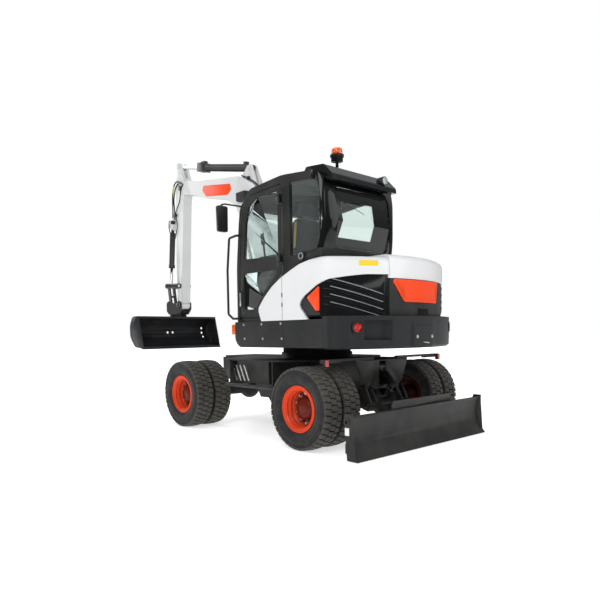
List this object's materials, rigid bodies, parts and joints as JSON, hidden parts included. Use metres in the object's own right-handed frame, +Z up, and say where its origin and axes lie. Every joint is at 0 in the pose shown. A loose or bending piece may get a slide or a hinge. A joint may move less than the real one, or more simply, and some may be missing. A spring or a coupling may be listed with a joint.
{
  "type": "compact wheeled excavator",
  "caption": "Compact wheeled excavator: slewing house with glazed cab, swing boom, arm and ditching bucket, steered front axle, twin tyres and a dozer blade at the rear.",
  "frame": {"origin": "on the ground, in the middle of the footprint of the whole machine as it is parked", "axes": "+X forwards to the bucket, along the boom; +Y to the driver's left; +Z up"},
  "size_m": [5.345, 2.2, 3.8909],
  "materials": {
    "white_paint": "satin",
    "charcoal_paint": "satin",
    "orange_paint": "satin",
    "black_paint": "satin",
    "cast_grey": "matt",
    "engine_iron": "matt",
    "tyre_rubber": "matt",
    "chrome_rod": "polished",
    "glossy_black": "gloss",
    "black_plastic": "grained",
    "tinted_glass": "clear",
    "red_lens": "gloss",
    "amber_lens": "gloss",
    "seat_fabric": "woven",
    "bucket_steel": "worn"
  },
  "bodies": {
    "chassis": {"chassis_frame": "charcoal_paint", "rear_axle": "charcoal_paint", "front_axle": "charcoal_paint", "side_steps": "charcoal_paint", "rear_lamp_arms": "charcoal_paint", "chassis_lamps": "red_lens"},
    "house": {"house_frame": "charcoal_paint", "side_skirts": "charcoal_paint", "counterweight": "cast_grey", "tail_lamps": "red_lens", "engine_block": "engine_iron", "body_sides": "white_paint", "corner_grilles": "glossy_black", "seat": "seat_fabric", "cab_cowl": "glossy_black", "cab_fittings": "black_plastic", "cab_lights": "black_plastic", "cab_frame": "charcoal_paint", "cab_glass": "tinted_glass", "steering_column": "black_plastic", "consoles": "black_plastic", "mirror": "black_plastic", "amber_lamps": "amber_lens", "accent_panels": "orange_paint"},
    "knuckle_left": {"knuckle_left": "charcoal_paint"},
    "knuckle_right": {"knuckle_right": "charcoal_paint"},
    "steering_rod": {"steering_rod": "chrome_rod"},
    "blade": {"blade": "charcoal_paint"},
    "door": {"door_frame": "charcoal_paint", "door_glass": "tinted_glass"},
    "hood": {"hood_top": "white_paint", "hood_panel": "charcoal_paint", "hood_badge": "orange_paint"},
    "swing_post": {"swing_post": "charcoal_paint"},
    "boom": {"boom": "white_paint", "boom_lamp": "black_plastic"},
    "arm": {"arm": "white_paint"},
    "rocker": {"rocker": "black_paint"},
    "link": {"link": "black_paint"},
    "bucket": {"quick_coupler": "black_paint", "bucket": "bucket_steel"},
    "wheels_rear_left": {"tyres_rear_left": "tyre_rubber", "rims_rear_left": "orange_paint"},
    "wheels_rear_right": {"tyres_rear_right": "tyre_rubber", "rims_rear_right": "orange_paint"},
    "wheels_front_left": {"tyres_front_left": "tyre_rubber", "rims_front_left": "orange_paint"},
    "wheels_front_right": {"tyres_front_right": "tyre_rubber", "rims_front_right": "orange_paint"},
    "boom_cylinder_barrel": {"boom_cylinder_barrel": "black_paint"},
    "boom_cylinder_rod": {"boom_cylinder_rod": "chrome_rod"},
    "arm_cylinder_barrel": {"arm_cylinder_barrel": "black_paint"},
    "arm_cylinder_rod": {"arm_cylinder_rod": "chrome_rod"},
    "bucket_cylinder_barrel": {"bucket_cylinder_barrel": "black_paint"},
    "bucket_cylinder_rod": {"bucket_cylinder_rod": "chrome_rod"},
    "blade_cylinder_barrel": {"blade_cylinder_barrel": "black_paint"},
    "blade_cylinder_rod": {"blade_cylinder_rod": "chrome_rod"}
  },
  "joints": [
    {"name": "slew", "type": "hinge", "parent": "chassis", "child": "house", "pos_m": [-1.0325, 0, 0.95], "axis": [0, 0, 1], "continuous": true},
    {"name": "steer_left", "type": "hinge", "parent": "chassis", "child": "knuckle_left", "pos_m": [0.3275, 0.5, 0.42], "axis": [0, 0, 1], "range_deg": [-28, 28]},
    {"name": "steer_right", "type": "hinge", "parent": "chassis", "child": "knuckle_right", "pos_m": [0.3275, -0.5, 0.42], "axis": [0, 0, 1], "range_deg": [-29, 29]},
    {"name": "steering_slide", "type": "slide", "parent": "chassis", "child": "steering_rod", "axis": [0, 1, 0], "range_m": [-0.0945, 0.0945]},
    {"name": "roll_rear_left", "type": "hinge", "parent": "chassis", "child": "wheels_rear_left", "pos_m": [-1.8725, 0.854, 0.42], "axis": [0, 1, 0], "continuous": true},
    {"name": "roll_rear_right", "type": "hinge", "parent": "chassis", "child": "wheels_rear_right", "pos_m": [-1.8725, -0.854, 0.42], "axis": [0, 1, 0], "continuous": true},
    {"name": "roll_front_left", "type": "hinge", "parent": "knuckle_left", "child": "wheels_front_left", "pos_m": [0.3275, 0.854, 0.42], "axis": [0, 1, 0], "continuous": true},
    {"name": "roll_front_right", "type": "hinge", "parent": "knuckle_right", "child": "wheels_front_right", "pos_m": [0.3275, -0.854, 0.42], "axis": [0, 1, 0], "continuous": true},
    {"name": "blade_lift", "type": "hinge", "parent": "chassis", "child": "blade", "pos_m": [-2.1175, 0, 0.4], "axis": [0, 1, 0], "range_deg": [-12, 32]},
    {"name": "boom_swing", "type": "hinge", "parent": "house", "child": "swing_post", "pos_m": [-0.4125, -0.1, 1.163], "axis": [0, 0, -1], "range_deg": [-70, 50]},
    {"name": "boom_lift", "type": "hinge", "parent": "swing_post", "child": "boom", "pos_m": [-0.2325, -0.1, 1.35], "axis": [0, -1, 0], "range_deg": [-78, 14]},
    {"name": "arm_swing", "type": "hinge", "parent": "boom", "child": "arm", "pos_m": [2.0275, -0.1, 3.48], "axis": [0, 1, 0], "range_deg": [-87, 33]},
    {"name": "bucket_curl", "type": "hinge", "parent": "arm", "child": "bucket", "pos_m": [2.1875, -0.1, 1.655], "axis": [0, 1, 0], "range_deg": [-60, 95]},
    {"name": "rocker_swing", "type": "hinge", "parent": "arm", "child": "rocker", "pos_m": [2.1575, -0.1, 1.96], "axis": [0, 1, 0], "range_deg": [-41.8, 65.6]},
    {"name": "link_swing", "type": "hinge", "parent": "rocker", "child": "link", "pos_m": [2.5775, -0.1, 1.985], "axis": [0, 1, 0], "range_deg": [-56.1, 35.8]},
    {"name": "boom_cylinder_hinge", "type": "hinge", "parent": "swing_post", "child": "boom_cylinder_barrel", "pos_m": [-0.0125, -0.1, 1.12], "axis": [0, -1, 0], "range_deg": [-81.34, 15.42]},
    {"name": "boom_cylinder_slide", "type": "slide", "parent": "boom_cylinder_barrel", "child": "boom_cylinder_rod", "axis": [0.3182, 0, 0.948], "range_m": [-0.4, 0.08]},
    {"name": "arm_cylinder_hinge", "type": "hinge", "parent": "boom", "child": "arm_cylinder_barrel", "pos_m": [0.3075, -0.1, 3.44], "axis": [0, 1, 0], "range_deg": [-1.83, 3.18]},
    {"name": "arm_cylinder_slide", "type": "slide", "parent": "arm_cylinder_barrel", "child": "arm_cylinder_rod", "axis": [0.9768, 0, 0.2143], "range_m": [-0.4667, 0.1832]},
    {"name": "bucket_cylinder_hinge", "type": "hinge", "parent": "arm", "child": "bucket_cylinder_barrel", "pos_m": [2.4675, -0.1, 2.96], "axis": [0, 1, 0], "range_deg": [-4, 5.75]},
    {"name": "bucket_cylinder_slide", "type": "slide", "parent": "bucket_cylinder_barrel", "child": "bucket_cylinder_rod", "axis": [0.1121, 0, -0.9937], "range_m": [-0.268, 0.4185]},
    {"name": "blade_cylinder_hinge", "type": "hinge", "parent": "chassis", "child": "blade_cylinder_barrel", "pos_m": [-2.0225, 0, 0.8], "axis": [0, 1, 0], "range_deg": [-3.88, 8.68]},
    {"name": "blade_cylinder_slide", "type": "slide", "parent": "blade_cylinder_barrel", "child": "blade_cylinder_rod", "axis": [-0.6417, 0, -0.7669], "range_m": [-0.1212, 0.0517]},
    {"name": "door_swing", "type": "hinge", "parent": "house", "child": "door", "pos_m": [-1.4945, 0.966, 2], "axis": [0, 0, 1], "range_deg": [0, 160]},
    {"name": "hood_lift", "type": "hinge", "parent": "house", "child": "hood", "pos_m": [-2.1645, -0.13, 1.9443], "axis": [0, 1, 0], "range_deg": [0, 70]}
  ],
  "couplings": [
    {"joint": "steer_right", "follows": "steer_left", "ratio": 1},
    {"joint": "steering_slide", "follows": "steer_left", "m_per_rad": 0.173},
    {"joint": "rocker_swing", "follows": "bucket_curl", "ratio": 0.68},
    {"joint": "link_swing", "follows": "bucket_curl", "ratio": -0.58},
    {"joint": "boom_cylinder_hinge", "follows": "boom_lift", "ratio": 1.03},
    {"joint": "boom_cylinder_slide", "follows": "boom_lift", "m_per_rad": 0.2865},
    {"joint": "arm_cylinder_hinge", "follows": "arm_swing", "ratio": -0.025},
    {"joint": "arm_cylinder_slide", "follows": "arm_swing", "m_per_rad": 0.3008},
    {"joint": "bucket_cylinder_hinge", "follows": "bucket_curl", "ratio": 0.05},
    {"joint": "bucket_cylinder_slide", "follows": "bucket_curl", "m_per_rad": 0.2464},
    {"joint": "blade_cylinder_hinge", "follows": "blade_lift", "ratio": 0.24},
    {"joint": "blade_cylinder_slide", "follows": "blade_lift", "m_per_rad": -0.1991}
  ]
}
